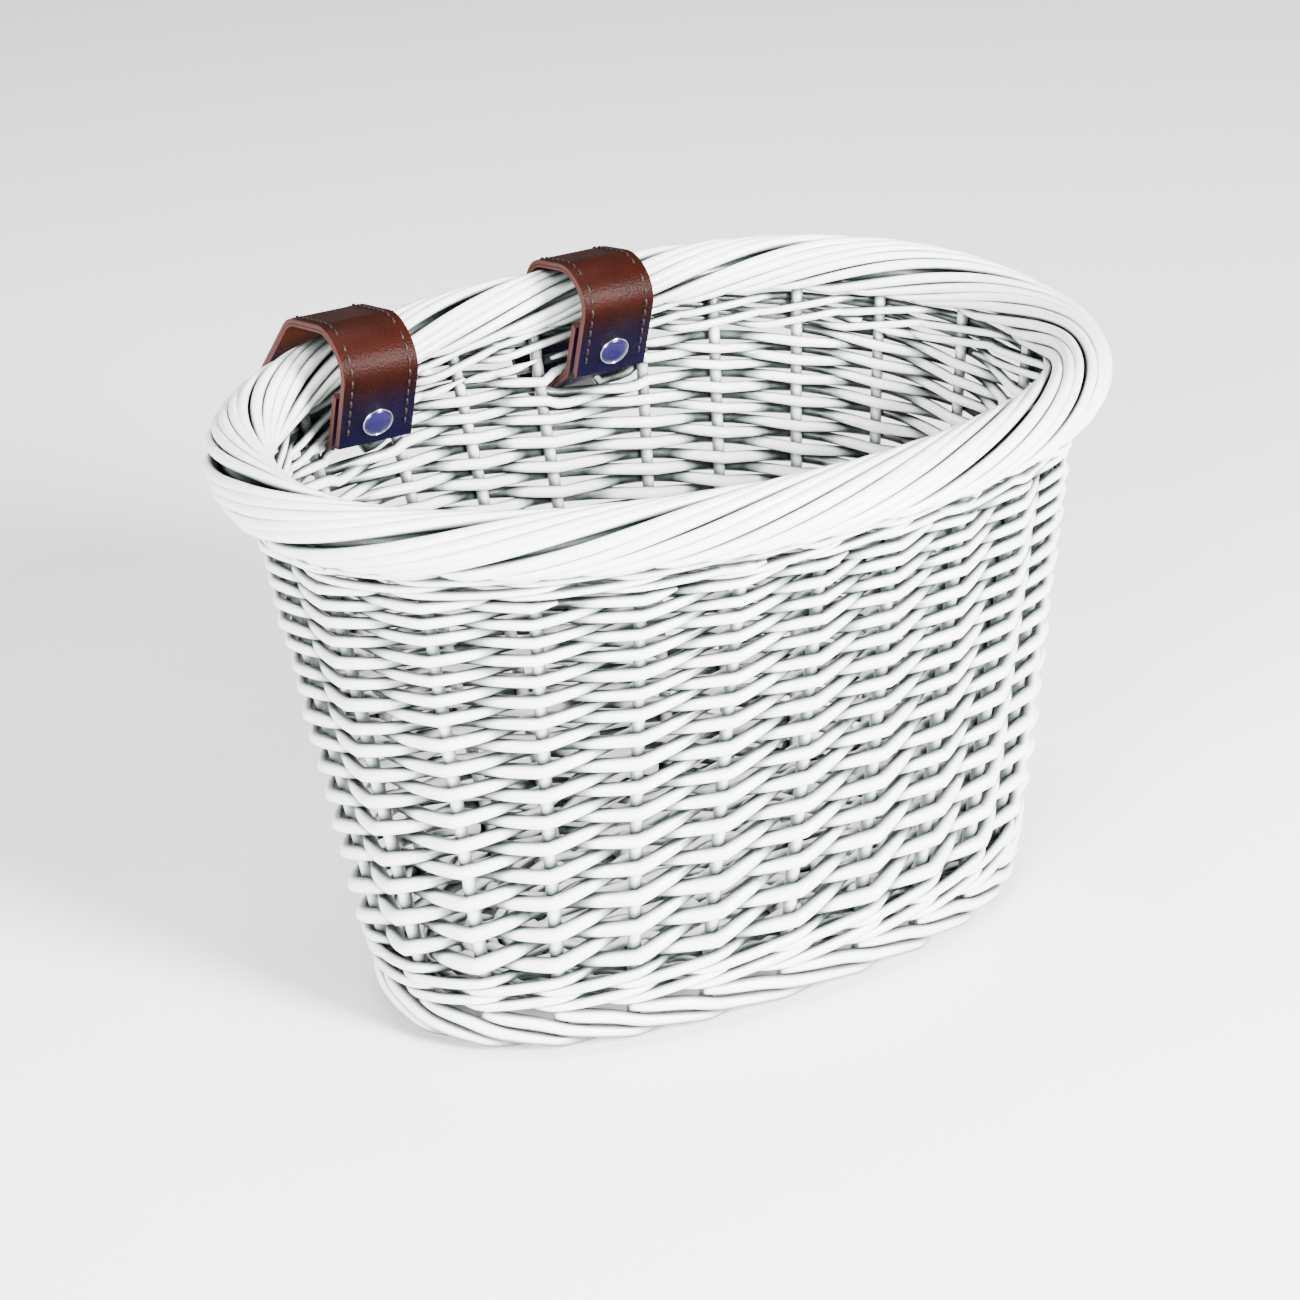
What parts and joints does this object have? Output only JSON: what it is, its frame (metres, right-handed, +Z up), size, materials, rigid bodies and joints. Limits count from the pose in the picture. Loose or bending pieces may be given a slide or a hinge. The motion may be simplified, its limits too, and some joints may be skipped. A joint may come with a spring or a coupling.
{
  "type": "handlebar basket",
  "caption": "Oval woven willow basket for a child's handlebar, painted white, with a rolled border, a foot rim and leather snap straps that loop round the bar.",
  "frame": {"origin": "on the ground under the middle of the basket's outline", "axes": "+X along the basket's long side, +Y towards the handlebar, +Z up"},
  "size_m": [0.2496, 0.1783, 0.1763],
  "materials": {
    "willow": "white paint, satin",
    "strap_leather": "pebbled, semi-gloss, shading to indigo at the snap",
    "lining_leather": "matt suede side",
    "snap_cap_enamel": "glossy enamel with a bare rim",
    "snap_metal": "nickel plated"
  },
  "bodies": {
    "root": {"base_cross_stick_1": "willow", "base_cross_stick_2": "willow", "base_cross_stick_3": "willow", "base_cross_stick_4": "willow", "base_cross_stick_5": "willow", "base_cross_stick_6": "willow", "base_long_stick_1": "willow", "base_long_stick_2": "willow", "base_long_stick_3": "willow", "base_weave": "willow", "bottom_wale": "willow", "foot_border": "willow", "rolled_border_back": "willow", "rolled_border_front": "willow", "side_weave": "willow", "stake_01": "willow", "stake_02": "willow", "stake_03": "willow", "stake_04": "willow", "stake_05": "willow", "stake_06": "willow", "stake_07": "willow", "stake_08": "willow", "stake_09": "willow", "stake_10": "willow", "stake_11": "willow", "stake_12": "willow", "stake_13": "willow", "stake_14": "willow", "stake_15": "willow", "stake_16": "willow", "stake_17": "willow", "stake_18": "willow", "stake_19": "willow", "stake_20": "willow", "stake_21": "willow", "stake_22": "willow", "stake_23": "willow", "strap_1_leather": "strap_leather", "strap_1_lining": "lining_leather", "strap_1_snap_rivet": "snap_metal", "strap_1_snap_stud": "snap_metal", "strap_2_leather": "strap_leather", "strap_2_lining": "lining_leather", "strap_2_snap_rivet": "snap_metal", "strap_2_snap_stud": "snap_metal", "top_wale": "willow"},
    "strap_1_end": {"strap_1_end_leather": "strap_leather", "strap_1_end_lining": "lining_leather", "strap_1_snap_cap": "snap_cap_enamel", "strap_1_snap_socket": "snap_metal"},
    "strap_1_flap": {"strap_1_flap_leather": "strap_leather", "strap_1_flap_lining": "lining_leather"},
    "strap_2_end": {"strap_2_end_leather": "strap_leather", "strap_2_end_lining": "lining_leather", "strap_2_snap_cap": "snap_cap_enamel", "strap_2_snap_socket": "snap_metal"},
    "strap_2_flap": {"strap_2_flap_leather": "strap_leather", "strap_2_flap_lining": "lining_leather"}
  },
  "joints": [
    {"name": "strap_1_flap_lift", "type": "hinge", "parent": "root", "child": "strap_1_flap", "pos_m": [0.00625, 0.05976, 0.17389], "axis": [-1, 0, 0], "range_deg": [0, 110]},
    {"name": "strap_1_end_peel", "type": "hinge", "parent": "strap_1_flap", "child": "strap_1_end", "pos_m": [0.00625, 0.0421, 0.16167], "axis": [-1, 0, 0], "range_deg": [0, 85]},
    {"name": "strap_2_flap_lift", "type": "hinge", "parent": "root", "child": "strap_2_flap", "pos_m": [-0.06948, 0.05273, 0.17451], "axis": [-1, 0, 0], "range_deg": [0, 110]},
    {"name": "strap_2_end_peel", "type": "hinge", "parent": "strap_2_flap", "child": "strap_2_end", "pos_m": [-0.06948, 0.03035, 0.16167], "axis": [-1, 0, 0], "range_deg": [0, 85]}
  ]
}
